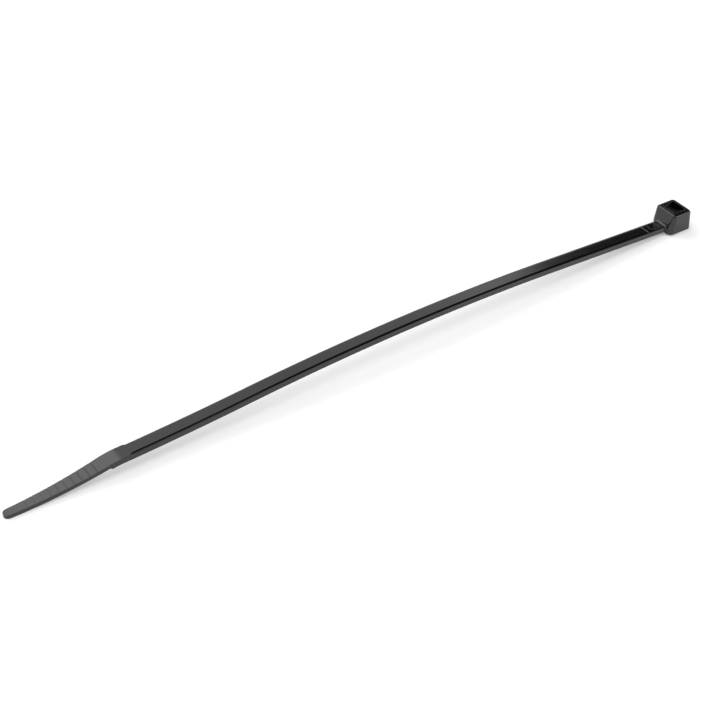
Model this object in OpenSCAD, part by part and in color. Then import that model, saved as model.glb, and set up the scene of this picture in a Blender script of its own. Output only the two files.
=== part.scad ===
// Cable tie moulded in one piece: a ratchet head, a toothed strap that keeps the
// gentle arch it was packed in, and a thin tail with finger grips. It lies on its
// head and the end of its tail, smooth side up. The head points along +X, the
// strap runs along -X, and the origin is on the table in the middle of its box.

/* [Strap] */
// Width of the strap
strap_w = 4.2; // [3.8:0.1:4.6]
// Thickness of the strap over its side rails
strap_t = 1.55; // [1.3:0.05:1.8]
// Width of the rounding along each upper edge
edge_w = 0.8; // [0.2:0.05:0.9]
// Height of the rounding along each upper edge
edge_h = 0.4; // [0.1:0.05:0.5]
// Chamfer on the two lower edges
lower_edge = 0.08; // [0.05:0.01:0.2]
// Distance that the sides draw in above and below the mould's parting line
side_draft = 0.04; // [0.02:0.01:0.08]

/* [Rack] */
// Width of each side rail
rail_w = 0.45; // [0.3:0.05:0.6]
// Depth of the channel between the rails
channel_d = 0.55; // [0.4:0.05:0.65]
// Distance from one ratchet tooth to the next
tooth_pitch = 1.1; // [0.9:0.1:1.6]
// Distance that the teeth stay below the rails
tooth_inset = 0.08; // [0.05:0.01:0.15]
// Smooth length between the head and the first tooth
plain_l = 8; // [5:1:20]

/* [Arch] */
// Straight length next to the head
neck_l = 40.2; // [20:0.1:60]
// Length of the long downward arc
crown_l = 89; // [60:0.1:120]
// Turn of the long arc in degrees
crown_bend = 7.9; // [4:0.1:12]
// Length of the shallow arc that turns back up
sweep_l = 33.5; // [20:0.1:50]
// Turn of the shallow arc in degrees
sweep_bend = 2.5; // [0:0.1:5]
// Length of the tight bend before the tail
knee_l = 4; // [3:0.1:10]
// Turn of the tight bend in degrees
knee_bend = 10.4; // [4:0.1:14]

/* [Tail] */
// Length of the tail past the tight bend
tail_l = 24.6; // [20:0.1:40]
// Turn back up along the tail in degrees
tail_bend = 11.7; // [0:0.1:11.7]
// Thickness of the tail
tail_t = 1.05; // [0.8:0.05:1.2]
// Width of the rounded tip
tip_w = 2.4; // [1.6:0.1:3]
// Distance from one grip groove to the next
grip_pitch = 1.84; // [1.4:0.02:3]
// Width of a grip groove along the tail
grip_w = 0.36; // [0.2:0.02:0.6]
// Depth of a grip groove
grip_d = 0.08; // [0.04:0.01:0.15]

/* [Head] */
// Height of the head
head_h = 6; // [5.2:0.05:7]
// Height of the strap's upper face where it leaves the head
neck_z = 2.5; // [2.2:0.05:3]
// Wall on each side of the slot
side_wall = 1.47; // [1.3:0.01:2]
// Wall between the strap and the space behind the pawl
front_wall = 2.3; // [2.1:0.1:3]
// Wall behind the slot at its foot
back_wall = 1.6; // [1.2:0.05:2.2]
// Lean of the upper front face in degrees
front_lean = 18; // [12:1:22]
// Height at which the front face starts to lean
lean_z = 2.2; // [1.8:0.05:2.4]
// Radius of the leaning face's side corners
lean_corner = 0.8; // [0.5:0.05:1.2]
// Draft of the back face in degrees
back_draft = 4; // [0:0.5:6]
// Radius of the front corners seen from above
front_corner = 1.6; // [0.8:0.1:1.6]
// Radius of the back corners seen from above
back_corner = 0.75; // [0.4:0.05:1.2]
// Radius of the top edge over the front
front_round = 0.8; // [0.5:0.05:0.9]
// Radius of the other top edges
top_round = 0.6; // [0.3:0.05:0.8]
// Chamfer round the base
foot_edge = 0.4; // [0.1:0.05:0.45]
// Height of the raised panel on top
panel_h = 0.1; // [0.05:0.01:0.2]

/* [Slot and pawl] */
// Clearance on each side of the strap in the slot
slot_gap = 0.15; // [0.1:0.01:0.25]
// Thickness of the pawl
pawl_t = 1.4; // [1:0.05:1.6]
// Width of the pawl
pawl_w = 3; // [2:0.1:3.2]
// Clearance on each side of the pawl
pawl_side_gap = 0.2; // [0.15:0.01:0.3]
// Space in which the pawl bends back
pawl_back_gap = 0.7; // [0.5:0.05:1]
// Distance of the pawl's tip below the top
pawl_drop = 0.35; // [0.2:0.05:0.8]
// Depth to which the pawl bites into the rack
pawl_bite = 0.25; // [0.1:0.05:0.4]
// Height of the solid root that carries the pawl
pawl_root_h = 1.3; // [1:0.05:1.5]
// Flare round the slot's entry
entry_flare = 0.4; // [0.2:0.05:0.5]

/* [Marks on the neck] */
// Distance of the round ejector mark from the head
ejector_x = 2.8; // [2.4:0.1:4]
// Diameter of the ejector mark
ejector_d = 3; // [2:0.1:3.1]
// Depth of the ejector mark's groove
ejector_groove = 0.08; // [0.04:0.01:0.12]
// Distance of the cross ridge from the head
ridge_x = 6; // [5:0.1:8]

/* [Hidden] */

$fn = 48;
sink = 1;                          // length of the strap hidden in the head
bite = 0.1;                        // overlap that joins the rack to the strap
draft = 0.08;                      // slope of the channel's walls
arch_step = 6;                     // spacing of the sections along the long arcs
over = 1;                          // reach of cutters past what they cut
neck_blend = 0.4;                  // fillet on top where the strap meets the head
side_blend = 0.24;                 // the same fillet on the sides and underneath
step_l = 0.6;                      // length of the ramps between two thicknesses
edge_lead = 2.2;                   // distance from the soft edges' end to the tight bend
tail_edge = 0.06;                  // radius of the tail's nearly sharp upper edges
edge_turns = [0, 25, 50, 70, 90];  // angles of the points round an upper edge
tip_turns = [10, 25, 40, 55, 70, 82];       // angles of the sections round the tip
blend_turns = [0, 15, 30, 45, 60, 75, 90];  // angles of the sections along the fillet
knee_steps = 3;                    // steps along the tight bend and along the thin part's start
grip_flat = 1 / 3;                 // share of a grip groove's width that is flat
grip_lead = 2.4;                   // distance from the tail's start to its first groove
thin_lead = 0.8;                   // distance from the thin part's start to the tail's start
groove_w = 0.16;                   // width of the ejector mark's groove
ridge_w = 0.25;                    // width of the cross ridge
tooth_flank = 0.1;                 // length of a tooth's steep side
tooth_land = 0.2;                  // length of a tooth's flat tip
pawl_teeth = 2;                    // teeth on the pawl
pawl_thin = 0.5;                   // thinning of the pawl at its root
pawl_taper_h = 1;                  // height over which the pawl grows to its full thickness
pawl_relief = 0.15;                // setback of the pawl's face and bevel of its tip
panel_edge = 1.14;                 // distance of the top panel from the head's sides
panel_gap = 0.05;                  // distance of the top panel from the rounded top edges
panel_r = 0.4;                     // corner radius of the top panel
ridge_h = 0.08;                    // height of the cross ridge

// The strap's upper face is a chain of arcs, each with its length and its turn.
arcs = [
    [neck_l, 0],
    [crown_l, -crown_bend],
    [sweep_l, sweep_bend],
    [knee_l, -knee_bend],
    [tail_l, tail_bend]
];
strap_l = neck_l + crown_l + sweep_l + knee_l + tail_l;
sweep_end = neck_l + crown_l + sweep_l;
tail_start = sweep_end + knee_l;
thin_start = tail_start - thin_lead;
edge_end = sweep_end - edge_lead;
first_grip = tail_start + grip_lead;
tip_r = tip_w / 2;
grips = floor((strap_l - tip_w - first_grip) / grip_pitch);

slot_front = front_wall + pawl_back_gap + pawl_t;
slot_back = slot_front + strap_t + 2 * slot_gap;
slot_w = strap_w + 2 * slot_gap;
head_l = slot_back + back_wall;
head_w = slot_w + 2 * side_wall;

// Centres of the top edges' rounds, seen from the side.
front_cx = (head_h - front_round - lean_z) * tan(front_lean) + front_round / cos(front_lean);
front_cz = head_h - front_round;
back_cx = head_l - (head_h - top_round) * tan(back_draft) - top_round / cos(back_draft);
back_cz = head_h - top_round;
panel_x0 = front_cx + panel_gap;
panel_x1 = back_cx - 2 * panel_gap;

rack_start = plain_l + step_l / 2;
rack_end = thin_start - step_l / 2;
teeth = floor((rack_end - rack_start) / tooth_pitch);

// Point [distance, height, angle] after a length of an arc that starts at p.
function along(p, len, bend) =
    bend == 0
    ? [p[0] + len * cos(p[2]), p[1] + len * sin(p[2]), p[2]]
    : let (r = len * 180 / (PI * bend), a = p[2] + bend)
      [p[0] + r * (sin(a) - sin(p[2])), p[1] + r * (cos(p[2]) - cos(a)), a];

// Point at arc length s of the chain, counted from the head's front face.
function chain(p, s, i = 0) =
    s <= arcs[i][0] || i == len(arcs) - 1
    ? along(p, s, arcs[i][1] * s / arcs[i][0])
    : chain(along(p, arcs[i][0], arcs[i][1]), s - arcs[i][0], i + 1);

// The neck rises just so much that the underside of the tip reaches the table.
level_end = chain([0, 0, 0], strap_l);
tip_x = level_end[0] + tail_t * sin(level_end[2]);
tip_z = level_end[1] - tail_t * cos(level_end[2]);
neck_rise = -asin(neck_z / norm([tip_x, tip_z])) - atan2(tip_z, tip_x);
function path(s) = chain([0, neck_z, neck_rise], s);

// The head's front face lies here, so that the box is centred on the origin.
front_x = (path(strap_l)[0] - head_l) / 2;

function clamp(v) = max(0, min(1, v));
function ramp(s, at) = clamp((s - at) / step_l + 0.5);
function mix(a, b, t) = a + (b - a) * t;
// Share of the fillet's full size at s: a quarter round that ends on the head at s = 0.
function blend(s) = s >= neck_blend ? 0 : 1 - sqrt(1 - pow(1 - max(0, s) / neck_blend, 2));
// Distance by which the head's front face has leaned back at height z.
function lean_at(z) = max(0, z - lean_z) * tan(front_lean);

function half_width(s) =
    s > strap_l - tip_r ? sqrt(tip_r * tip_r - pow(s - strap_l + tip_r, 2))
    : mix(strap_w / 2, tip_r, clamp((s - tail_start) / (strap_l - tip_r - tail_start)));
function thickness(s) = mix(strap_t, tail_t, ramp(s, thin_start));
function channel(s) = channel_d * min(ramp(s, plain_l), 1 - ramp(s, thin_start));
function edge_reach(s) = mix(edge_w, tail_edge, ramp(s, edge_end));
function edge_drop(s) = mix(edge_h, tail_edge, ramp(s, edge_end));
// Depth of the grip grooves, each a shallow V with a flat bottom.
function groove(s) =
    let (
        n = max(0, min(grips - 1, round((s - first_grip) / grip_pitch))),
        d = abs(s - first_grip - n * grip_pitch)
    )
    grip_d * clamp((grip_w - 2 * d) / (grip_w * (1 - grip_flat)));

// One half of the section at s, as [across, up], from the top down to the channel.
// Near the tip each detail is held to a share of the half width.
function half_section(s) =
    let (
        w = half_width(s) + side_blend * blend(s),
        r = min(edge_reach(s), w / 2),
        drop = edge_drop(s),
        rail = min(rail_w, w / 2),
        in = min(side_draft, w / 8),
        top = neck_blend * blend(s) - groove(s),
        low = -thickness(s) - side_blend * blend(s)
    )
    concat(
        [for (a = edge_turns) [w - in - r * (1 - sin(a)), top - drop * (1 - cos(a))]],
        [
            [w, (low + lower_edge + top - drop) / 2],
            [w - in, low + lower_edge],
            [w - in - min(lower_edge, w / 4), low],
            [w - rail, low],
            [w - rail - min(draft, w / 8), low + channel(s)]
        ]
    );
function section(s) =
    let (half = half_section(s), n = len(half))
    concat([for (i = [0:n - 1]) half[i]], [for (i = [n - 1:-1:0]) [-half[i][0], half[i][1]]]);

// A point across and up from the path at s, in the part's frame.
function place(s, across, up) =
    let (p = path(s))
    [front_x - p[0] + up * sin(p[2]), across, p[1] + up * cos(p[2])];

// The lengths along the strap at which it has a section.
arch_steps = ceil((edge_end - step_l - plain_l - step_l) / arch_step);
stations = concat(
    [-sink],
    [for (a = blend_turns) neck_blend * (1 - cos(a))],
    [for (i = [0:arch_steps]) mix(plain_l - step_l / 2, edge_end - step_l / 2, i / arch_steps)],
    [edge_end + step_l / 2],
    [for (i = [0:knee_steps]) mix(sweep_end, thin_start - step_l / 2, i / knee_steps)],
    [for (i = [0:knee_steps]) mix(thin_start + step_l / 2, tail_start, i / knee_steps)],
    [for (i = [0:grips - 1], share = [-1, -grip_flat, grip_flat, 1])
        first_grip + i * grip_pitch + share * grip_w / 2],
    [for (a = tip_turns) strap_l - tip_r + tip_r * sin(a)]
);

// Carries a point of the fillet back onto the leaning face of the head.
function on_head(p, s) = [p[0] + lean_at(p[2]) * blend(s), p[1], p[2]];

// Closed solid through the sections at all stations.
module swept_strap() {
    rings = [for (s = stations) [for (q = section(s)) on_head(place(s, q[0], q[1]), s)]];
    n = len(rings[0]);
    last = len(rings) - 1;
    polyhedron(
        points = [for (ring = rings, p = ring) p],
        faces = concat(
            [[for (j = [0:n - 1]) j]],
            [for (i = [0:last - 1], j = [0:n - 1])
                let (k = (j + 1) % n)
                [i * n + j, (i + 1) * n + j, (i + 1) * n + k]],
            [for (i = [0:last - 1], j = [0:n - 1])
                let (k = (j + 1) % n)
                [i * n + j, (i + 1) * n + k, i * n + k]],
            [[for (j = [n - 1:-1:0]) last * n + j]]
        ),
        convexity = 10
    );
}

// Stands a profile drawn in X and Z across the part, centred on Y = 0.
module across(width) {
    rotate([90, 0, 0])
        linear_extrude(height = width, center = true)
            children();
}

// Moves what is drawn from the head's front foot, +X towards the back.
module at_head() {
    translate([front_x, 0, 0])
        children();
}

// Moves what is drawn on the neck's upper face, +X back towards the head.
module on_neck(distance) {
    translate(place(distance, 0, 0))
        rotate([0, neck_rise, 0])
            children();
}

// Ratchet teeth: each drops steeply on the side of the head and slopes to the tail.
module rack() {
    valley = channel_d - strap_t - bite / 2;
    tip = tooth_inset - strap_t;
    root = channel_d - strap_t + bite;
    rack_len = teeth * tooth_pitch;
    back_steps = ceil(rack_len / arch_step);
    side_point = function (s, up) let (p = place(s, 0, up)) [p[0], p[2]];
    across(strap_w - 2 * rail_w + 2 * bite)
        polygon(concat(
            [for (i = [0:teeth - 1], q = [[0, valley], [tooth_flank, tip], [tooth_flank + tooth_land, tip]])
                side_point(rack_start + i * tooth_pitch + q[0], q[1])],
            [side_point(rack_start + rack_len, valley)],
            [for (i = [back_steps:-1:0])
                side_point(rack_start + rack_len * i / back_steps, root)]
        ));
}

// Rectangle from [x0, y0] to [x1, y1] with its four corners given as radii.
module rounded_plan(x0, x1, width, front_r, back_r) {
    y = width / 2;
    translate([x0 + front_r, -y])
        square([x1 - back_r - x0 - front_r, width]);
    translate([x0, front_r - y])
        square([front_r, width - 2 * front_r]);
    translate([x1 - back_r, back_r - y])
        square([back_r, width - 2 * back_r]);
    for (side = [-1, 1]) {
        translate([x0 + front_r, side * (y - front_r)])
            circle(r = front_r);
        translate([x1 - back_r, side * (y - back_r)])
            circle(r = back_r);
    }
}

// The head seen from the side: a foot, a front that leans back, a rounded top.
module side_profile() {
    polygon([
        [foot_edge, 0],
        [0, foot_edge],
        [0, lean_z],
        [front_cx - front_round * cos(front_lean), front_cz + front_round * sin(front_lean)],
        [front_cx, head_h],
        [back_cx, head_h],
        [back_cx + top_round * cos(back_draft), back_cz + top_round * sin(back_draft)],
        [head_l - foot_edge * tan(back_draft), foot_edge],
        [head_l - foot_edge, 0]
    ]);
    translate([front_cx, front_cz])
        circle(r = front_round);
    translate([back_cx, back_cz])
        circle(r = top_round);
}

// The head seen from the strap: upright sides, a rounded top, a chamfered foot.
module front_profile() {
    y = head_w / 2;
    polygon([
        [-y, foot_edge],
        [foot_edge - y, 0],
        [y - foot_edge, 0],
        [y, foot_edge],
        [y, head_h - top_round],
        [y - top_round, head_h],
        [top_round - y, head_h],
        [-y, head_h - top_round]
    ]);
    for (side = [-1, 1])
        translate([side * (y - top_round), head_h - top_round])
            circle(r = top_round);
}

module head_block() {
    reach = 2 * head_h;
    at_head()
        intersection() {
            linear_extrude(height = head_h + over)
                rounded_plan(0, head_l, head_w, front_corner, back_corner);
            across(head_w + over)
                side_profile();
            rotate([90, 0, 90])
                linear_extrude(height = head_l + over)
                    front_profile();
            translate([0, 0, lean_z])
                rotate([0, front_lean, 0])
                    translate([0, 0, -reach])
                        linear_extrude(height = 2 * reach)
                            rounded_plan(0, head_l + head_h, head_w, lean_corner, back_corner);
        }
}

// Low panel on the head's flat top, with rounded corners.
module top_panel() {
    at_head()
        translate([0, 0, head_h - bite])
            linear_extrude(height = panel_h + bite)
                rounded_plan(panel_x0, panel_x1, head_w - 2 * panel_edge, panel_r, panel_r);
}

// Rectangle in the middle of the slot, grown on all sides.
module slot_plan(grow) {
    translate([(slot_front + slot_back) / 2, 0])
        square([slot_back - slot_front + 2 * grow, slot_w + 2 * grow], center = true);
}

// One wall of the flare: a profile that is wide at the foot and narrows up to the slot.
module flare_profile(width) {
    polygon([
        [-width / 2 - entry_flare - over, -over],
        [width / 2 + entry_flare + over, -over],
        [width / 2 - over, entry_flare + over],
        [over - width / 2, entry_flare + over]
    ]);
}

// Way for the tail: a straight slot whose entry in the foot is flared all round.
module slot() {
    at_head() {
        translate([0, 0, -over])
            linear_extrude(height = head_h + 2 * over)
                slot_plan(0);
        intersection() {
            across(head_w)
                translate([(slot_front + slot_back) / 2, 0])
                    flare_profile(slot_back - slot_front);
            rotate([90, 0, 90])
                linear_extrude(height = head_l)
                    flare_profile(slot_w);
            translate([0, 0, -over])
                linear_extrude(height = over + entry_flare)
                    slot_plan(entry_flare + over);
        }
    }
}

// Space behind the pawl, open to the slot and to the top.
module pawl_room() {
    at_head()
        across(pawl_w + 2 * pawl_side_gap)
            polygon([
                [front_wall, head_h + over],
                [front_wall, pawl_root_h + pawl_back_gap],
                [front_wall + pawl_back_gap, pawl_root_h],
                [slot_front + bite, pawl_root_h],
                [slot_front + bite, head_h + over]
            ]);
}

// Springy tongue rooted low in the front wall, its teeth towards the slot.
module pawl() {
    tip = head_h - pawl_drop;
    face = slot_front - pawl_relief;
    back = slot_front - pawl_t;
    reach = slot_back - slot_gap - strap_t + tooth_inset + pawl_bite;
    first = tip - pawl_relief - pawl_teeth * tooth_pitch;
    at_head()
        across(pawl_w)
            polygon(concat(
                [
                    [back + pawl_thin, pawl_root_h - bite],
                    [back + pawl_thin, pawl_root_h + pawl_thin],
                    [back, pawl_root_h + pawl_thin + pawl_taper_h],
                    [back, tip - pawl_relief],
                    [back + pawl_relief, tip],
                    [face, tip]
                ],
                [for (i = [pawl_teeth - 1:-1:0], q = [[face, 1], [reach, 1 - tooth_flank / tooth_pitch]])
                    [q[0], first + (i + q[1]) * tooth_pitch]],
                [[face, first], [face, pawl_root_h - bite]]
            ));
}

// Witness mark of the mould's ejector pin, a thin round groove in the neck.
module ejector_mark() {
    on_neck(ejector_x)
        difference() {
            cylinder(d = ejector_d + groove_w, h = 2 * ejector_groove, center = true);
            cylinder(d = ejector_d - groove_w, h = 4 * ejector_groove, center = true);
        }
}

// Fine raised line across the neck.
module cross_ridge() {
    length = strap_w - edge_w;
    on_neck(ridge_x)
        translate([0, 0, ridge_h - ridge_w / 2])
            rotate([90, 0, 0])
                cylinder(d = ridge_w, h = length, center = true);
}

module cable_tie() {
    color([0.12, 0.12, 0.13])
        difference() {
            union() {
                swept_strap();
                rack();
                cross_ridge();
                difference() {
                    union() {
                        head_block();
                        top_panel();
                    }
                    slot();
                    pawl_room();
                }
                pawl();
            }
            ejector_mark();
        }
}

cable_tie();
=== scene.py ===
# %% [markdown]
# A cable tie, black nylon, lying as it came out of its bag. The real thing is moulded in one
# shot: a ratchet head, a strap with a toothed rack between two rails, a thin tail with finger
# grips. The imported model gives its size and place, and this script gives it the rounded edges,
# the fine teeth and the satin surface that the light picks out. Everything starts from the
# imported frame, so the dressed tie lies exactly where the solid lies.

# %% Load the frame
import math

import bpy
import mathutils
import numpy as np
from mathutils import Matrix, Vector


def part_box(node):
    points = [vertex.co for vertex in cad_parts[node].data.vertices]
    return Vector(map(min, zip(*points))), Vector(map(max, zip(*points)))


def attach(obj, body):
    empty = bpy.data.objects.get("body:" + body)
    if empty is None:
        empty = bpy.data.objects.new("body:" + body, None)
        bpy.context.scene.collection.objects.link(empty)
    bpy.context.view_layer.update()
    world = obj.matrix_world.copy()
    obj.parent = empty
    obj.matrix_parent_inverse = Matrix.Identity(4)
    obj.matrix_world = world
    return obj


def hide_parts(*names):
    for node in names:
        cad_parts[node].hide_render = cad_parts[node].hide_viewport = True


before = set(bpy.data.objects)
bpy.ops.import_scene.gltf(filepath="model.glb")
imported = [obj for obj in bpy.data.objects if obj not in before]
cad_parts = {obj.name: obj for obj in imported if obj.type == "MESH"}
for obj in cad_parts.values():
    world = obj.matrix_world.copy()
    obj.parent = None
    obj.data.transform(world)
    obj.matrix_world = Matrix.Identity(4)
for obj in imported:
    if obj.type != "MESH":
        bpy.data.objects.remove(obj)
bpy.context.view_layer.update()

NODE = "cable_tie"
LOW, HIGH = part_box(NODE)
MM = 0.001
print("solid, in mm:", [round((h - l) / MM, 2) for l, h in zip(LOW, HIGH)])

# %% [markdown]
# The sizes are those of the moulding, in millimetres, as a toolmaker would write them down.
# They could stand in the functions that use them, but a table in one place is what one would
# change to make a longer or a wider tie. Lengths along the strap start at the head.

# %% Sizes of the strap, in mm
STRAP_W, STRAP_T = 4.2, 1.55
EDGE_W, EDGE_H, LOWER_EDGE, SIDE_DRAFT = 0.8, 0.4, 0.08, 0.04
RAIL_W, RAIL_SOFT, CHANNEL_D = 0.45, 0.05, 0.55
TOOTH_PITCH, TOOTH_INSET, TOOTH_FLANK, TOOTH_LAND = 1.1, 0.08, 0.1, 0.2
PLAIN_L, STEP_L = 8.0, 0.6
NECK_Z, NECK_BLEND, SIDE_BLEND, SINK = 2.5, 0.28, 0.24, 1.0

# Each arc of the strap's upper face: length in mm, turn in degrees, up is positive.
ARCS = np.array([[40.2, 0.0], [89.0, -7.9], [33.5, 2.5], [4.0, -10.4], [24.6, 11.7]])
STRAP_L = ARCS[:, 0].sum()
SWEEP_END = ARCS[:3, 0].sum()
TAIL_START = SWEEP_END + ARCS[3, 0]
THIN_START = TAIL_START - 0.8

TAIL_T, TIP_R, TAIL_EDGE = 1.05, 1.2, 0.06
EDGE_END = SWEEP_END - 2.2
GRIP_PITCH, GRIP_W, GRIP_D = 1.84, 0.36, 0.08
GRIP_SIDE = GRIP_W / 3
FIRST_GRIP = TAIL_START + 2.4
GRIPS = int((STRAP_L - 2 * TIP_R - FIRST_GRIP) / GRIP_PITCH)
print("strap", round(STRAP_L, 1), "mm long,", STRAP_W, "wide and", STRAP_T, "thick, with", GRIPS, "grips")

# %% [markdown]
# What the photo shows of the head was measured there: its outline, the lean of its front, the
# corners and the raised panel on top. What it hides, the slot's flare, the pawl and the room
# behind it, is drawn to fit the strap's section and the rack, as on other ties of this kind.
# Lengths start at the head's front foot and run to its back, heights start at its foot.

# %% Sizes of the head, in mm
HEAD_L, HEAD_W, HEAD_H = 7.85, 7.44, 5.95
FRONT_X = HIGH[0] / MM - HEAD_L
LEAN_Z, LEAN, BACK_DRAFT = 1.92, math.radians(18), math.radians(4)
FRONT_ROUND, TOP_ROUND, FOOT_ROUND = 0.4, 0.8, 0.4
FRONT_CORNER, TOP_CORNER, BACK_CORNER = 1.6, 0.9, 1.15
LEAST_FRONT_R, LEAST_BACK_R = 0.25, 0.2
PANEL_X, PANEL_HALF_W, PANEL_H, PANEL_R, PANEL_LIP = (1.97, 6.77), 2.58, 0.1, 0.4, 0.03
SLOT_X, SLOT_HALF_W, FLARE = (4.4, 6.25), 2.25, 0.4
ROOM_X, ROOM_HALF_W, ROOT_H = (2.3, 4.5), 1.7, 1.3
PAWL_BACK, PAWL_FACE, PAWL_REACH, PAWL_HALF_W = 3.0, 4.25, 4.88, 1.5
PAWL_TIP, PAWL_BEVEL, PAWL_TEETH = 5.3, 0.15, 2
PAWL_ROOT_T, PAWL_ROUND, PAWL_SIDE = 0.5, 0.1, 0.06
print("head", HEAD_L, "mm long,", HEAD_W, "wide and", HEAD_H, "high")

# %% [markdown]
# The strap's line is a chain of arcs, each leaving in the direction in which the last one
# ended. Curving a straight strap with a modifier would work too, but a formula gives the exact
# place and slope at any distance, which the teeth and the grips need. The slope at the head
# isn't chosen: the neck rises just so much that the underside of the tip meets the table.

# %% The line of the strap
def chain(s, rise):
    """Distance, height and slope at arc length s from the head, for a neck that rises by rise.

    Along an arc of radius r = length / turn that leaves at angle a, the point moves by
    r (sin(a + t) - sin a) outwards and r (cos a - cos(a + t)) upwards, where t is the turn
    made so far. The arcs add up, and a straight stretch is an arc with a turn near zero.
    """
    s = np.asarray(s, float)
    out, up, angle = np.zeros_like(s), np.zeros_like(s), np.full_like(s, rise)
    start = 0.0
    for i, (length, turn) in enumerate(ARCS):
        low = -np.inf if i == 0 else 0.0
        part = np.clip(s - start, low, np.inf if i == len(ARCS) - 1 else length)
        bend = math.radians(turn) if turn else 1e-9
        t = bend * part / length
        r = length / bend
        out += r * (np.sin(angle + t) - np.sin(angle))
        up += r * (np.cos(angle) - np.cos(angle + t))
        angle = angle + t
        start += length
    return out, up, angle


def neck_rise():
    """Slope of the neck that brings the tip's underside down to the table.

    With a level neck the underside of the tip is at (x, z) from the neck. Turned by the rise
    it has to lie NECK_Z lower: x sin(rise) + z cos(rise) = -NECK_Z.
    """
    out, up, angle = chain(STRAP_L, 0.0)
    x, z = out + TAIL_T * np.sin(angle), up - TAIL_T * np.cos(angle)
    return -math.asin(NECK_Z / math.hypot(x, z)) - math.atan2(z, x)


RISE = neck_rise()
print("neck rises by", round(math.degrees(RISE), 3), "degrees over", round(STRAP_L, 1), "mm")

# %% [markdown]
# The strap is one surface of two parameters: the distance s along it and the place j round its
# section. Everything that varies along a tie is a function of s: the width that tapers to a
# round tip, the two thicknesses, the depth of the channel, the saw profile of the rack and the
# grips. Carving teeth out of a block with booleans would give the same shape with ragged
# faces, and a formula keeps clean rows across every tooth.

# %% What varies along the strap
def mix(a, b, t):
    """The value a share t of the way from a to b."""
    return a + (b - a) * t


def ramp(s, at):
    """Rises from 0 to 1 over STEP_L, centred on s = at."""
    return np.clip((s - at) / STEP_L + 0.5, 0, 1)


def half_width(s):
    """Full width, then a straight taper, then a half circle round the tip."""
    taper = mix(STRAP_W / 2, TIP_R, np.clip((s - TAIL_START) / (STRAP_L - TIP_R - TAIL_START), 0, 1))
    into_tip = np.clip(s - (STRAP_L - TIP_R), 0, TIP_R)
    return taper * np.sqrt(np.maximum(1 - (into_tip / TIP_R) ** 2, 0))


def thickness(s):
    """Full thickness on the strap, and the tail's from the step on."""
    return mix(STRAP_T, TAIL_T, ramp(s, THIN_START))


def edge_round(s):
    """Width and height of the upper edges' rounding: full on the strap, nearly sharp on the tail."""
    tail = ramp(s, EDGE_END)
    return mix(EDGE_W, TAIL_EDGE, tail), mix(EDGE_H, TAIL_EDGE, tail)


RACK_START = PLAIN_L + STEP_L / 2
TEETH = int((THIN_START - STEP_L / 2 - RACK_START) / TOOTH_PITCH)
print("rack of", TEETH, "teeth,", TOOTH_PITCH, "mm apart, from", RACK_START, "mm on")


def channel_floor(s):
    """Depth of the channel above the rails' underside, with the teeth standing in it.

    A tooth starts with its steep flank, has a short flat land and slopes down to the foot of
    the next tooth, so the depth over one pitch is a saw between CHANNEL_D and TOOTH_INSET.
    """
    depth = CHANNEL_D * np.minimum(ramp(s, PLAIN_L), 1 - ramp(s, THIN_START))
    t = np.mod(s - RACK_START, TOOTH_PITCH)
    tooth = np.interp(t, [0, TOOTH_FLANK, TOOTH_FLANK + TOOTH_LAND, TOOTH_PITCH], [0, 1, 1, 0])
    inside = (s > RACK_START - 1e-6) & (s < RACK_START + TEETH * TOOTH_PITCH + 1e-6)
    return np.where(inside, np.minimum(depth, mix(CHANNEL_D, TOOTH_INSET, tooth)), depth)


def groove(s):
    """Depth of the finger grips, shallow grooves across the tail with flat bottoms.

    From the middle of the nearest grip the depth is full, then falls along a slope that is
    GRIP_SIDE long to nothing at half of GRIP_W.
    """
    n = np.clip(np.round((s - FIRST_GRIP) / GRIP_PITCH), 0, GRIPS - 1)
    d = np.abs(s - FIRST_GRIP - n * GRIP_PITCH)
    return GRIP_D * np.clip((GRIP_W / 2 - d) / GRIP_SIDE, 0, 1)


def neck_flare(s):
    """Share of the fillet that spreads the strap onto the head: a quarter round, 1 at s = 0."""
    t = np.clip(s / NECK_BLEND, 0, 1)
    return 1 - np.sqrt(np.maximum(1 - (1 - t) ** 2, 0))


# %% [markdown]
# Evenly spaced rows would either miss the tips of the teeth or make a needlessly heavy mesh.
# So a row lies at each corner of a tooth and of a grip, and rows stand close round the fillet
# at the head, over the steps, in the bend before the tail and round the tip.

# %% Where the rows across the strap lie
def strap_rows():
    """Distances of the rows: close together where something happens, wide apart elsewhere.

    Rows that would come closer than the least gap to the one before are left out.
    """
    land = TOOTH_FLANK + TOOTH_LAND
    tooth = np.array([0, 0.03, TOOTH_FLANK - 0.01, TOOTH_FLANK + 0.02, land, 0.7])
    grip = np.array([-0.65, -0.5, -0.36, -0.17, -0.08, 0.08, 0.17, 0.36, 0.5, 0.65]) * GRIP_W
    parts = [
        [-SINK, -SINK / 2],
        NECK_BLEND * (1 - np.cos(np.linspace(0, np.pi / 2, 9))),
        np.arange(0.6, PLAIN_L - STEP_L, 0.4),
        PLAIN_L + STEP_L * np.linspace(-0.5, 0.5, 3),
        (RACK_START + TOOTH_PITCH * np.arange(TEETH)[:, None] + tooth).ravel(),
        EDGE_END + STEP_L * np.linspace(-0.5, 0.5, 5),
        THIN_START + STEP_L * np.linspace(-0.5, 0.5, 5),
        np.linspace(SWEEP_END, TAIL_START, 17),
        (FIRST_GRIP + GRIP_PITCH * np.arange(GRIPS)[:, None] + grip).ravel(),
        np.linspace(TAIL_START, STRAP_L - TIP_R, 20),
        STRAP_L - TIP_R + TIP_R * np.sin(np.radians([8, 16, 24, 32, 40, 48, 56, 64, 71, 77, 82, 86])),
    ]
    rows = np.unique(np.round(np.concatenate([np.ravel(p) for p in parts]), 3))
    least_gap = 0.012
    return rows[np.r_[True, np.diff(rows) > least_gap]]


print("the strap has", len(strap_rows()), "rows")

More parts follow.
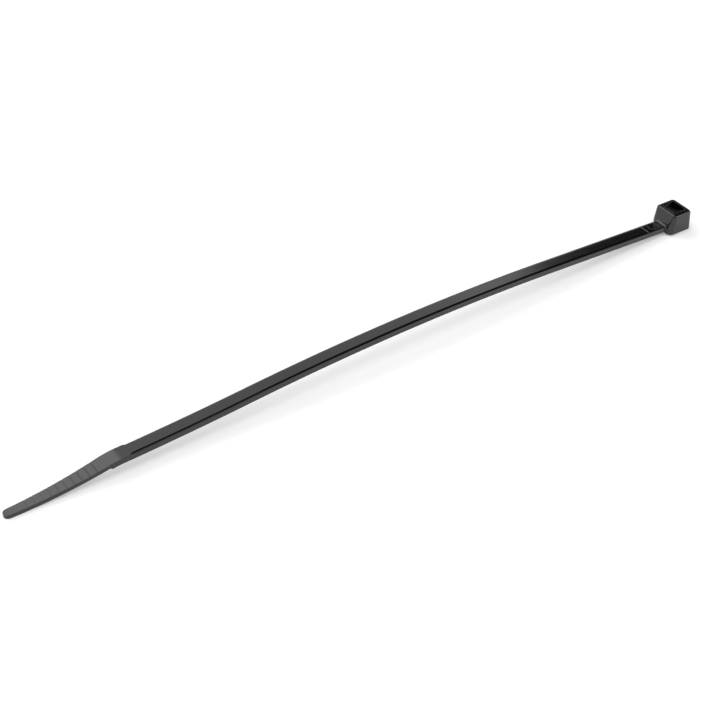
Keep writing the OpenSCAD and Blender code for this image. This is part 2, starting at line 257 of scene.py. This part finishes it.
# %% [markdown]
# Round the section the points run from the middle of the upper face over the rounded edge,
# down the side, under the rail and up into the channel. A moulded edge is never sharp, so each
# corner of the section gets its own few points on an arc.

# %% The section and the surface of the strap
def lifted(x):
    """Height of the head's foot above the table, x mm behind its front foot.

    The head lies on its back edge, and the springy strap lifts its front by half the neck's
    slope.
    """
    return (HEAD_L - x) * math.tan(RISE / 2)


def arc(start, end, count):
    """Angles in radians, both ends included."""
    return np.radians(np.linspace(start, end, count))


def strap_half(s):
    """One half of the section for all rows at once, as (rows, points) across and up.

    The upper edge is a quarter ellipse as wide and high as edge_round says, the lower edge a
    quarter circle, and the rail's inner edge a small quarter round. Between them the side
    draws in by SIDE_DRAFT above and below the mould's parting line half way up.
    """
    s = s[:, None]
    flare = neck_flare(s)
    w = half_width(s) + SIDE_BLEND * flare
    draft = np.minimum(SIDE_DRAFT, w / 8)
    reach, drop = edge_round(s)
    reach = np.minimum(reach, w / 2)
    top = NECK_BLEND * flare - groove(s)
    low = -thickness(s) - SIDE_BLEND * flare
    floor = low + channel_floor(s)
    small = np.minimum(LOWER_EDGE, w / 4)
    rail = np.minimum(RAIL_W, w / 2)
    soft = np.minimum(RAIL_SOFT, w / 10)
    shoulder = top - drop
    edge, turn = np.radians([0, 8, 16, 25, 34, 44, 54, 63, 72, 81, 90]), arc(0, 90, 3)
    side = np.array([0.04, 0.3, 0.46, 0.5, 0.54, 0.7, 0.96])
    parts = [
        (np.array([0, 0.6, 0.97]) * (w - draft - reach), top),
        (w - draft - reach * (1 - np.sin(edge)), top - drop * (1 - np.cos(edge))),
        (w - draft * np.abs(1 - 2 * side), mix(shoulder, low + small, side)),
        (w - draft - small + small * np.cos(turn), low + small - small * np.sin(turn)),
        (w - rail + soft * (1 - np.sin(turn)), low + soft * (1 - np.cos(turn))),
        (w - rail - soft, mix(low + soft, floor, np.array([0.5, 1.0]))),
        (np.array([0.5, 0.0]) * (w - rail - soft), floor),
    ]
    full = [np.broadcast_arrays(x, z) for x, z in parts]
    return np.concatenate([x for x, z in full], axis=1), np.concatenate([z for x, z in full], axis=1)


def strap_surface():
    """Points of the strap on a grid of rows and section points, in mm in the part's frame.

    A point across and up from the strap's line at s goes to the line's point plus up times
    the line's upward normal (-sin slope, cos slope). The fillet's rows are carried back onto
    the head's leaning face.
    """
    s = strap_rows()
    across, up = strap_half(s)
    across = np.concatenate([across, -across[:, -2:0:-1]], axis=1)
    up = np.concatenate([up, up[:, -2:0:-1]], axis=1)
    out, height, angle = (v[:, None] for v in chain(s, RISE))
    z = height + NECK_Z + up * np.cos(angle)
    x = FRONT_X - out + up * np.sin(angle)
    x = x + np.maximum(z - LEAN_Z - lifted(0.0), 0) * math.tan(LEAN) * neck_flare(s)[:, None]
    return np.stack([x, across, z], axis=-1)


# %% [markdown]
# A grid of points becomes a mesh by joining neighbours with quads, and the last point of each
# ring with its first. Both ends are shut by a fan round their middle, because a boolean needs
# a closed solid. The sign of the volume tells whether the faces point outwards.

# %% From grids to meshes
def closed_tube(grid):
    """Vertices and faces of a tube whose rows are closed rings, shut by a fan at both ends."""
    rows, ring = grid.shape[:2]
    i, j = np.meshgrid(np.arange(rows - 1), np.arange(ring), indexing="ij")
    k = (j + 1) % ring
    here, there = i * ring, (i + 1) * ring
    quads = np.stack([here + j, here + k, there + k, there + j], axis=-1).reshape(-1, 4)
    ends = np.stack([grid[0].mean(axis=0), grid[-1].mean(axis=0)])
    points = np.concatenate([grid.reshape(-1, 3), ends])
    j = np.arange(ring)
    k = (j + 1) % ring
    first = np.stack([np.full(ring, rows * ring), k, j], axis=-1)
    last = np.stack([np.full(ring, rows * ring + 1), (rows - 1) * ring + j, (rows - 1) * ring + k], axis=-1)
    return points, quads, np.concatenate([first, last])


def solid_from(name, grid):
    """A Blender object from a grid in mm, with its faces turned outwards.

    The volume is a sixth of the sum, over all triangles, of the triple product of their
    corners; where it comes out negative, every face is turned round.
    """
    points, quads, triangles = closed_tube(grid)
    a, b, c, d = (points[quads[:, n]] for n in range(4))
    volume = np.einsum("ij,ij->i", a, np.cross(b, c) + np.cross(c, d)).sum()
    a, b, c = (points[triangles[:, n]] for n in range(3))
    volume = (volume + np.einsum("ij,ij->i", a, np.cross(b, c)).sum()) / 6
    turn = slice(None) if volume > 0 else slice(None, None, -1)
    mesh = bpy.data.meshes.new(name)
    mesh.from_pydata((points * MM).tolist(), [], quads[:, turn].tolist() + triangles[:, turn].tolist())
    mesh.validate()
    piece = bpy.data.objects.new(name, mesh)
    bpy.context.scene.collection.objects.link(piece)
    print(name, "has", len(mesh.polygons), "faces and", round(abs(volume), 1), "cubic mm")
    return piece


strap = solid_from("strap", strap_surface())

# %% [markdown]
# The head is a block whose outline changes with height: the front leans back above the strap
# and its corners grow tighter towards the top, the sides stand upright, the back has a little
# draft, and the top edges are rolled over. A cube with bevels would give one radius to all of
# them, so its surface is a stack of rounded rectangles, and the functions of height say where
# each side lies. The stack is lifted a little at the front, as the strap holds it.

# %% The block of the head
def roll(d, r):
    """How far a quarter round of radius r draws a face in, d mm from where it starts."""
    d = np.clip(d, 0, r)
    return r - np.sqrt(np.maximum(r ** 2 - d ** 2, 0))


def front_at(z):
    """Distance of the front face: upright, then leaning, then rolled into the top.

    The roll is a circle that touches both the leaning line and the top plane.
    """
    line = np.maximum(z - LEAN_Z, 0) * math.tan(LEAN)
    centre_z = HEAD_H - FRONT_ROUND
    centre_x = (centre_z - LEAN_Z) * math.tan(LEAN) + FRONT_ROUND / math.cos(LEAN)
    touch_z = centre_z + FRONT_ROUND * math.sin(LEAN)
    bow = centre_x - np.sqrt(np.maximum(FRONT_ROUND ** 2 - (z - centre_z) ** 2, 0))
    return np.where(z > touch_z, bow, line) + roll(FOOT_ROUND - z, FOOT_ROUND)


def outline(x0, x1, half, front_r, back_r, corner=13, side=6):
    """Rounded rectangles as closed rings, one for each row of the arguments.

    Each corner is a quarter circle, and the points on the straights are evenly spaced.
    """
    x0, x1, half, front_r, back_r = (v[:, None] for v in np.broadcast_arrays(
        *(np.atleast_1d(np.asarray(v, float)) for v in (x0, x1, half, front_r, back_r))))
    t = arc(0, 90, corner)
    corners = [
        (x1 - back_r + back_r * np.cos(t), half - back_r + back_r * np.sin(t)),
        (x0 + front_r - front_r * np.sin(t), half - front_r + front_r * np.cos(t)),
        (x0 + front_r - front_r * np.cos(t), -half + front_r - front_r * np.sin(t)),
        (x1 - back_r + back_r * np.sin(t), -half + back_r - back_r * np.cos(t)),
    ]
    f = np.linspace(0, 1, side + 2)[1:-1]
    rows = []
    for n, (cx, cy) in enumerate(corners):
        nx, ny = corners[(n + 1) % 4]
        rows.append(np.stack([cx, cy], axis=-1))
        rows.append(np.stack([mix(cx[:, -1:], nx[:, :1], f), mix(cy[:, -1:], ny[:, :1], f)], axis=-1))
    return np.concatenate(rows, axis=1)


def at_height(rings, z):
    """Lifts flat rings, in the head's frame, to their heights in the part's frame."""
    z = np.asarray(z, float)[:, None, None] + lifted(rings[..., :1])
    return np.concatenate([rings + [FRONT_X, 0], z], axis=-1)


def head_surface():
    """The head as rings from the foot to the rolled top, then over the panel on the top.

    At each height the sides and the back are drawn in by the rolls of foot and top, and the
    back also by its draft. The front corners' radius goes from FRONT_CORNER to TOP_CORNER with
    the height, and a roll makes every corner tighter by as much as it draws the side in.
    """
    bend = 0.04
    foot = FOOT_ROUND * (1 - np.cos(arc(0, 90, 9)))
    wall = np.linspace(FOOT_ROUND, HEAD_H - FRONT_ROUND, 18)[1:]
    top = HEAD_H - TOP_ROUND + TOP_ROUND * np.sin(arc(0, 90, 16))
    z = np.unique(np.round(np.concatenate([foot, [LEAN_Z - bend, LEAN_Z + bend], wall, top]), 4))
    side = roll(FOOT_ROUND - z, FOOT_ROUND) + roll(z - HEAD_H + TOP_ROUND, TOP_ROUND)
    climb = np.clip((z - LEAN_Z) / (HEAD_H - FRONT_ROUND - LEAN_Z), 0, 1)
    front_r = np.maximum(mix(FRONT_CORNER, TOP_CORNER, climb) - side, LEAST_FRONT_R)
    back_r = np.maximum(BACK_CORNER - side, LEAST_BACK_R)
    back = HEAD_L - z * math.tan(BACK_DRAFT) - side
    body = at_height(outline(front_at(z), back, HEAD_W / 2 - side, front_r, back_r), z)
    t = arc(0, 90, 4)
    foot, rim = PANEL_LIP * (1 - np.cos(t)), PANEL_LIP * (1 - np.sin(t))
    grow = np.r_[rim, 0, -foot]
    high = HEAD_H + np.r_[foot, PANEL_H / 2, PANEL_H - rim]
    panel = outline(PANEL_X[0] - grow, PANEL_X[1] + grow, PANEL_HALF_W + grow, PANEL_R, PANEL_R)
    return np.concatenate([body, at_height(panel, high)])


head = solid_from("head", head_surface())

# %% [markdown]
# The way for the tail and the space behind the pawl are cut out, as the mould's core pins
# leave them. Each cutter is itself a stack of rounded rectangles. Its last rows grow outwards
# on a quarter round, and this rounds the rim of the hole in the same cut.

# %% Cutters for the slot and for the pawl's room
RIM, CUT_CORNER, ROOM_CORNER, ROOM_SLANT = 0.1, 0.12, 0.05, 0.7


def rim_rows():
    """Heights and growth of a cutter's upper rows: straight up to the rim, then a quarter round."""
    t = arc(0, 90, 6)
    top = HEAD_H + PANEL_H
    return np.r_[top - RIM * (1 - np.sin(t)), top + 1], np.r_[RIM * (1 - np.cos(t)), RIM]


def slot_cutter():
    """The tail's way: flared below, straight above, and wider again at the rim."""
    z, grow = rim_rows()
    t = arc(0, 90, 4)
    below, soft, bend = 1, 0.1, 0.15
    z = np.r_[-below, soft, FLARE + bend * np.sin(t) - soft, z]
    grow = np.r_[FLARE + below, FLARE - soft, soft * (1 - np.sin(t)), grow]
    corner = CUT_CORNER + grow
    return at_height(outline(SLOT_X[0] - grow, SLOT_X[1] + grow, SLOT_HALF_W + grow, corner, corner), z)


def room_cutter():
    """The space behind the pawl, its lower front corner cut slantwise over ROOM_SLANT."""
    z, grow = rim_rows()
    climb = ROOM_SLANT * np.array([0, 0.5, 1])
    z = np.r_[ROOT_H + climb, z]
    front = ROOM_X[0] + np.r_[ROOM_SLANT - climb, np.zeros(len(grow))]
    grow = np.r_[0, 0, 0, grow]
    rings = outline(front - grow, ROOM_X[1] + grow, ROOM_HALF_W + grow, CUT_CORNER + grow, ROOM_CORNER)
    return at_height(rings, z)


print("slot", 2 * SLOT_HALF_W, "mm across and", round(SLOT_X[1] - SLOT_X[0], 2), "mm wide")

# %% [markdown]
# The pawl is a springy tongue on a thin root low in the head. Its teeth slide over the rack one
# way and catch it the other way. Its side view is drawn once and carried across the head; a
# curve with a thickness would give the same bar, but not its two slightly smaller ends.

# %% The pawl
def rounded(points, r, count=4):
    """A polygon with each corner replaced by a quadratic curve.

    The curve starts r before the corner, or at 0.4 of the side where that is less, ends as far
    behind it, and has the corner itself as its middle control point.
    """
    before, after = np.roll(points, 1, axis=0) - points, np.roll(points, -1, axis=0) - points
    step = [v * np.minimum(r / np.linalg.norm(v, axis=1, keepdims=True), 0.4) for v in (before, after)]
    t = np.linspace(0, 1, count)[None, :, None]
    curve = points[:, None] + (1 - t) ** 2 * step[0][:, None] + t ** 2 * step[1][:, None]
    return curve.reshape(-1, 2)


def pawl_surface():
    """The pawl's profile carried across the head, its two ends a little smaller.

    Each tooth is a point at PAWL_REACH and one back at PAWL_FACE, one pitch of the rack apart,
    so that the pawl fits the rack. Towards the ends every point moves inwards along the
    profile's normal, by PAWL_SIDE in all.
    """
    first = PAWL_TIP - PAWL_BEVEL - PAWL_TEETH * TOOTH_PITCH
    teeth = [[x, first + (i + share) * TOOTH_PITCH] for i in range(PAWL_TEETH - 1, -1, -1)
             for x, share in ((PAWL_FACE, 1), (PAWL_REACH, 1 - TOOTH_FLANK / TOOTH_PITCH))]
    thin, foot = PAWL_ROOT_T, ROOT_H - 0.1
    profile = rounded(np.array([
        [PAWL_BACK + thin, foot], [PAWL_BACK + thin, ROOT_H + thin], [PAWL_BACK, ROOT_H + 3 * thin],
        [PAWL_BACK, PAWL_TIP - PAWL_BEVEL], [PAWL_BACK + PAWL_BEVEL, PAWL_TIP], [PAWL_FACE, PAWL_TIP],
        *teeth, [PAWL_FACE, first], [PAWL_FACE, foot]]), PAWL_ROUND)
    edge = np.roll(profile, -1, axis=0) - np.roll(profile, 1, axis=0)
    inward = np.stack([edge[:, 1], -edge[:, 0]], axis=1) / np.linalg.norm(edge, axis=1, keepdims=True)
    t = arc(0, 90, 4)
    from_end, inwards = PAWL_SIDE * (1 - np.sin(t)), PAWL_SIDE * (1 - np.cos(t))
    y = np.r_[-PAWL_HALF_W + from_end, 0, PAWL_HALF_W - from_end[::-1]]
    depth = np.r_[inwards[::-1], 0, inwards]
    xz = profile[None] + depth[:, None, None] * inward[None]
    y = np.broadcast_to(y[:, None], xz.shape[:2])
    return np.stack([xz[..., 0] + FRONT_X, y, xz[..., 1] + lifted(xz[..., 0])], axis=-1)


print("pawl with", PAWL_TEETH, "teeth,", 2 * PAWL_HALF_W, "mm wide, its tip at", PAWL_TIP, "mm")

# %% [markdown]
# Two marks of the mould stay on the neck: the ring that the ejector pin leaves, and a fine
# ridge across the strap. Bump would show them from afar, but not their edges in a grazing
# light, so the ring is cut with a torus and the ridge is a slim rounded bar.

# %% Marks on the neck
EJECTOR_S, EJECTOR_R, RING_R, RING_UP = 2.8, 1.5, 0.15, 0.1
RIDGE_S, RIDGE_R, RIDGE_H = 6.0, 0.15, 0.12


def on_neck(s, points):
    """Takes points (along, across, up), in mm on the neck's upper face, to the part's frame."""
    out, height, angle = chain(s, RISE)
    along, across, up = points[..., 0], points[..., 1], points[..., 2]
    x = FRONT_X - out + along * np.cos(angle) + up * np.sin(angle)
    return np.stack([x, across, NECK_Z + height - along * np.sin(angle) + up * np.cos(angle)], axis=-1)


def ring_cutter():
    """Torus of radius EJECTOR_R whose tube of radius RING_R has its middle just over the face."""
    round_ring, round_tube = np.linspace(0, 2 * np.pi, 97), np.linspace(0, 2 * np.pi, 13)[:-1]
    u, v = np.meshgrid(round_ring, round_tube, indexing="ij")
    far = EJECTOR_R + RING_R * np.cos(v)
    high = RING_R * (np.sin(v) + RING_UP)
    return on_neck(EJECTOR_S, np.stack([far * np.cos(u), far * np.sin(u), high], axis=-1))


def ridge_surface():
    """Bar across the neck with blunt rounded ends, sunk so that only RIDGE_H stands proud."""
    half = (STRAP_W - EDGE_W) / 2
    end = arc(0, 85, 6)
    beyond = RIDGE_R / 2 * np.sin(end)
    y = np.r_[-half - beyond[::-1], half + beyond][:, None]
    r = RIDGE_R * np.r_[np.cos(end[::-1]), np.cos(end)][:, None]
    v = np.linspace(0, 2 * np.pi, 17)[:-1]
    points = [r * np.cos(v), y + 0 * v, r * np.sin(v) + RIDGE_H - RIDGE_R]
    return on_neck(RIDGE_S, np.stack(points, axis=-1))


print("ejector ring", 2 * EJECTOR_R, "mm wide,", EJECTOR_S, "mm from the head; ridge at", RIDGE_S, "mm")

# %% [markdown]
# One shot of nylon is one closed surface, so the pieces are joined by exact booleans and the
# helpers are removed. Smooth shading with hard edges kept above a set angle then shows the
# small rounds as rounds and the teeth as teeth. Plain smooth shading would bend the light on a
# flat face next to a small round, so the normals are weighted by the areas of the faces.

# %% Join the moulding into one piece
def combine(base, tool, operation):
    """Applies one boolean to the base object's mesh and removes the tool."""
    step = base.modifiers.new("step", "BOOLEAN")
    step.operation, step.solver, step.object = operation, "EXACT", tool
    graph = bpy.context.evaluated_depsgraph_get()
    mesh = bpy.data.meshes.new_from_object(base.evaluated_get(graph))
    base.modifiers.clear()
    old, base.data = base.data, mesh
    bpy.data.meshes.remove(old)
    gone = tool.data
    bpy.data.objects.remove(tool)
    bpy.data.meshes.remove(gone)
    print(operation.lower(), "->", len(mesh.polygons), "faces")


def weigh_normals(mesh, within):
    """Shading normals that keep flat faces flat next to small rounds.

    The normal at a face's corner is the mean of the normals of the faces that meet there,
    weighted by area, over those faces that turn from its own face by less than the angle within.
    """
    corners, faces = len(mesh.loops), len(mesh.polygons)
    point, sides = np.empty(corners, int), np.empty(faces, int)
    area, normal = np.empty(faces), np.empty(3 * faces)
    mesh.loops.foreach_get("vertex_index", point)
    mesh.polygons.foreach_get("loop_total", sides)
    mesh.polygons.foreach_get("area", area)
    mesh.polygons.foreach_get("normal", normal)
    face = np.repeat(np.arange(faces), sides)
    normal = normal.reshape(-1, 3)[face]
    share = normal * area[face][:, None]
    total = share.copy()
    order = np.argsort(point, kind="stable")
    for step in range(1, np.bincount(point).max()):
        one, other = order[:-step], order[step:]
        near = np.einsum("ij,ij->i", normal[one], normal[other]) > math.cos(within)
        met = near & (point[one] == point[other])
        one, other = one[met], other[met]
        total[one] += share[other]
        total[other] += share[one]
    total /= np.linalg.norm(total, axis=1, keepdims=True)
    mesh.normals_split_custom_set(total.tolist())


def torus_from(name, grid):
    """A closed torus: the last row meets the first, so no ends are shut."""
    rows, ring = grid.shape[0] - 1, grid.shape[1]
    i, j = np.meshgrid(np.arange(rows), np.arange(ring), indexing="ij")
    n, k = (i + 1) % rows, (j + 1) % ring
    faces = np.stack([i * ring + j, n * ring + j, n * ring + k, i * ring + k], axis=-1).reshape(-1, 4)
    mesh = bpy.data.meshes.new(name)
    mesh.from_pydata((grid[:-1].reshape(-1, 3) * MM).tolist(), [], faces.tolist())
    piece = bpy.data.objects.new(name, mesh)
    bpy.context.scene.collection.objects.link(piece)
    return piece


combine(head, solid_from("slot_cutter", slot_cutter()), "DIFFERENCE")
combine(head, solid_from("room_cutter", room_cutter()), "DIFFERENCE")
combine(head, solid_from("pawl", pawl_surface()), "UNION")
combine(strap, torus_from("ring_cutter", ring_cutter()), "DIFFERENCE")
combine(strap, solid_from("ridge", ridge_surface()), "UNION")
combine(strap, head, "UNION")

tie = strap
tie.name = tie.data.name = "moulding"
tie.data.shade_smooth()
HARD_EDGE = math.radians(32)
tie.data.set_sharp_from_angle(angle=HARD_EDGE)
weigh_normals(tie.data, HARD_EDGE)
print("the moulding has", len(tie.data.polygons), "faces")

# %% [markdown]
# Black nylon 66 comes out of a fine-ground steel mould with a satin skin. Its colour is
# carbon black, a little uneven. What the eye reads is the gloss: mostly smooth, broken by
# faint flow streaks along the strap and by the grain of the steel, a few hundredths of a
# millimetre fine. Noise in object coordinates makes both, one stretched along the strap.

# %% Black nylon
def node(tree, kind, **inputs):
    """A shader node with its input sockets set by name."""
    made = tree.nodes.new(kind)
    for name, value in inputs.items():
        made.inputs[name.replace("_", " ")].default_value = value
    return made


def nylon():
    """Black plastic whose roughness, colour and surface follow two noises in object space."""
    material = bpy.data.materials.new("black_nylon")
    material.use_nodes = True
    tree = material.node_tree
    tree.nodes.clear()
    link = tree.links.new
    out = tree.nodes.new("ShaderNodeOutputMaterial")
    skin = node(tree, "ShaderNodeBsdfPrincipled", Base_Color=(0.008, 0.008, 0.009, 1),
                Roughness=0.3, IOR=1.58)
    where = tree.nodes.new("ShaderNodeTexCoord")

    streak_map = tree.nodes.new("ShaderNodeMapping")
    streak_map.inputs["Scale"].default_value = (0.12, 1.0, 1.0)
    streaks = node(tree, "ShaderNodeTexNoise", Scale=1500.0, Detail=3.0, Roughness=0.6)
    link(where.outputs["Object"], streak_map.inputs["Vector"])
    link(streak_map.outputs["Vector"], streaks.inputs["Vector"])

    grain = node(tree, "ShaderNodeTexNoise", Scale=9000.0, Detail=2.0, Roughness=0.5)
    link(where.outputs["Object"], grain.inputs["Vector"])

    gloss = node(tree, "ShaderNodeMapRange", From_Min=0.3, From_Max=0.7, To_Min=0.1, To_Max=0.15)
    link(streaks.outputs["Fac"], gloss.inputs["Value"])
    link(gloss.outputs["Result"], skin.inputs["Roughness"])

    shade = tree.nodes.new("ShaderNodeValToRGB")
    shade.color_ramp.elements[0].position, shade.color_ramp.elements[1].position = 0.3, 0.7
    shade.color_ramp.elements[0].color = (0.003, 0.003, 0.0033, 1)
    shade.color_ramp.elements[1].color = (0.005, 0.005, 0.0055, 1)
    link(streaks.outputs["Fac"], shade.inputs["Fac"])
    link(shade.outputs["Color"], skin.inputs["Base Color"])

    fine = node(tree, "ShaderNodeBump", Strength=0.15, Distance=0.000004)
    wavy = node(tree, "ShaderNodeBump", Strength=0.25, Distance=0.000006)
    link(streaks.outputs["Fac"], wavy.inputs["Height"])
    link(grain.outputs["Fac"], fine.inputs["Height"])
    link(wavy.outputs["Normal"], fine.inputs["Normal"])
    link(fine.outputs["Normal"], skin.inputs["Normal"])
    link(skin.outputs["BSDF"], out.inputs["Surface"])
    return material


tie.data.materials.clear()
tie.data.materials.append(nylon())
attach(tie, "root")
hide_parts(NODE)
print(tie.name, "wears", tie.data.materials[0].name, "in place of", NODE)

# %% [markdown]
# The tie was photographed on a white sweep. The floor is plain white paint: it takes the
# tie's soft shadow, and what the camera and reflections see of it is lifted to white.

# %% The floor
def floor_material(lift):
    """White paint, plus a glow of strength lift that only the camera and reflections see."""
    material = bpy.data.materials.new("white_floor")
    material.use_nodes = True
    tree = material.node_tree
    tree.nodes.clear()
    link = tree.links.new
    out = tree.nodes.new("ShaderNodeOutputMaterial")
    paint = node(tree, "ShaderNodeBsdfDiffuse", Color=(0.8, 0.8, 0.8, 1))
    glow = node(tree, "ShaderNodeEmission", Color=(1, 1, 1, 1), Strength=lift)
    both = tree.nodes.new("ShaderNodeAddShader")
    seen = tree.nodes.new("ShaderNodeLightPath")
    first, second = (tree.nodes.new("ShaderNodeMath") for n in range(2))
    first.operation = second.operation = "MAXIMUM"
    pick = tree.nodes.new("ShaderNodeMixShader")
    link(seen.outputs["Is Camera Ray"], first.inputs[0])
    link(seen.outputs["Is Glossy Ray"], first.inputs[1])
    link(first.outputs["Value"], second.inputs[0])
    link(seen.outputs["Is Transmission Ray"], second.inputs[1])
    link(second.outputs["Value"], pick.inputs["Fac"])
    link(paint.outputs["BSDF"], both.inputs[0])
    link(glow.outputs["Emission"], both.inputs[1])
    link(paint.outputs["BSDF"], pick.inputs[1])
    link(both.outputs["Shader"], pick.inputs[2])
    link(pick.outputs["Shader"], out.inputs["Surface"])
    return material


FLOOR_HALF, FLOOR_LIFT = 20.0, 0.3
floor_corners = FLOOR_HALF * np.array([[-1, -1, 0], [1, -1, 0], [1, 1, 0], [-1, 1, 0]])
floor_mesh = bpy.data.meshes.new("floor")
floor_mesh.from_pydata(floor_corners.tolist(), [], [(0, 1, 2, 3)])
floor_mesh.materials.append(floor_material(FLOOR_LIFT))
floor = bpy.data.objects.new("floor", floor_mesh)
bpy.context.scene.collection.objects.link(floor)
print("floor", 2 * FLOOR_HALF, "m square")

# %% [markdown]
# Black plastic shows its surroundings more than itself, so the light is laid out by what each
# face mirrors, as a product photographer does it. The room is evenly bright, with a soft box
# overhead for the shadow under the strap, a bright patch behind that lightens the tail, a
# window on the left for the thin lines at the head's front edges, and a box low on the front
# right for the near edges. Dark flags stand where the head's top, the neck and the rounding of
# the strap's near edge look, and the room is dark where the camera stands. Lamps and cards
# would do too, but soft discs painted into the world can't cast a shadow or be in the way.

# %% Light
def direction(azimuth, elevation):
    """Unit vector towards an azimuth, from +Y towards +X, and an elevation, in degrees."""
    a, e = math.radians(azimuth), math.radians(elevation)
    return np.array([math.sin(a) * math.cos(e), math.cos(a) * math.cos(e), math.sin(e)])


def disc(tree, azimuth, elevation, radius, soft, inside, outside):
    """Value that goes smoothly from inside to outside at an angle of radius from a direction."""
    look = tree.nodes.new("ShaderNodeTexCoord")
    near = tree.nodes.new("ShaderNodeVectorMath")
    near.operation = "DOT_PRODUCT"
    near.inputs[1].default_value = direction(azimuth, elevation).tolist()
    step = node(tree, "ShaderNodeMapRange", From_Min=math.cos(math.radians(radius + soft)),
                From_Max=math.cos(math.radians(radius - soft)), To_Min=outside, To_Max=inside)
    step.interpolation_type = "SMOOTHSTEP"
    tree.links.new(look.outputs["Generated"], near.inputs[0])
    tree.links.new(near.outputs["Value"], step.inputs["Value"])
    return step.outputs["Result"]


def combined(tree, operation, first, second):
    """Sum or product of two values of the world's shader."""
    math_node = tree.nodes.new("ShaderNodeMath")
    math_node.operation = operation
    tree.links.new(first, math_node.inputs[0])
    tree.links.new(second, math_node.inputs[1])
    return math_node.outputs["Value"]


# For each: azimuth, elevation, radius and half the width of the soft edge, all in degrees,
# and then what a light adds or what a flag leaves.
ROOM_LEVEL = 0.85
LIGHTS = {
    "behind the strap": ((30, 40, 24, 6), 0.15),
    "patch for the tail": ((-5, 47, 16.5, 3), 1.25),
    "overhead": ((-90, 74, 15, 5), 2.6),
    "patch for the strap's far half": ((44.3, 31.6, 4, 3), 0.35),
    "low on the front right": ((145, 24, 16, 6), 1.5),
    "window on the left": ((-44, 36, 14, 6), 2.2),
}
FLAGS = {
    "strap's near edge": ((62, 60, 22, 2), 0.01),
    "roll of the head's side": ((112, 50, 16, 3), 0.3),
    "head's top and neck": ((62, 29, 14.2, 1.5), 0.01),
    "behind the camera": ((214, 8, 32, 8), 0.05),
    "left of the camera": ((272, 8, 22, 5), 0.05),
}

world = bpy.data.worlds.new("room")
bpy.context.scene.world = world
world.use_nodes = True
room = world.node_tree
room.nodes.clear()
# A disc that is equally bright inside and outside is the even room.
level = disc(room, 0, 90, 180, 0.001, ROOM_LEVEL, ROOM_LEVEL)
for place, strength in LIGHTS.values():
    level = combined(room, "ADD", level, disc(room, *place, strength, 0.0))
for place, left in FLAGS.values():
    level = combined(room, "MULTIPLY", level, disc(room, *place, left, 1.0))
glow = node(room, "ShaderNodeBackground", Color=(1, 1, 1, 1))
sky = room.nodes.new("ShaderNodeOutputWorld")
room.links.new(level, glow.inputs["Strength"])
room.links.new(glow.outputs["Background"], sky.inputs["Surface"])
print("room with", len(LIGHTS), "lights and", len(FLAGS), "flags")

# %% [markdown]
# The camera repeats the photograph's view. Its angles and focal length came from fitting the
# strap's two edges; it is placed so that a chosen point of the neck falls on its pixel.

# %% Camera
FRAME_PX, FOCAL_PX = 720, 1595.2
VIEW_AZIMUTH, VIEW_ELEVATION, DEPTH = 34.508, 39.334, 427.0
ANCHOR_S, ANCHOR_PX = 1.24, (652.0, 221.1)

a, e = math.radians(VIEW_AZIMUTH), math.radians(VIEW_ELEVATION)
view_right = np.array([math.cos(a), -math.sin(a), 0])
view_up = np.array([math.sin(a) * math.sin(e), math.cos(a) * math.sin(e), math.cos(e)])
view_ahead = np.array([math.sin(a) * math.cos(e), math.cos(a) * math.cos(e), -math.sin(e)])
outwards, height = chain(ANCHOR_S, RISE)[:2]
anchor = np.array([FRONT_X - float(outwards), STRAP_W / 2, NECK_Z + float(height)])
right_mm, down_mm = (np.array(ANCHOR_PX) - FRAME_PX / 2) / FOCAL_PX * DEPTH
eye = anchor - (right_mm * view_right - down_mm * view_up + DEPTH * view_ahead)

lens = bpy.data.cameras.new("camera")
lens.sensor_width = 36.0
lens.lens = lens.sensor_width * FOCAL_PX / FRAME_PX
lens.clip_start, lens.clip_end = 0.01, 100.0
camera = bpy.data.objects.new("camera", lens)
bpy.context.scene.collection.objects.link(camera)
camera.location = (eye * MM).tolist()
camera.rotation_euler = mathutils.Vector(view_ahead.tolist()).to_track_quat("-Z", "Y").to_euler()
bpy.context.scene.camera = camera
bpy.context.scene.view_settings.view_transform = "Standard"
print("camera at", np.round(eye, 1).tolist(), "mm, lens", round(lens.lens, 2), "mm")
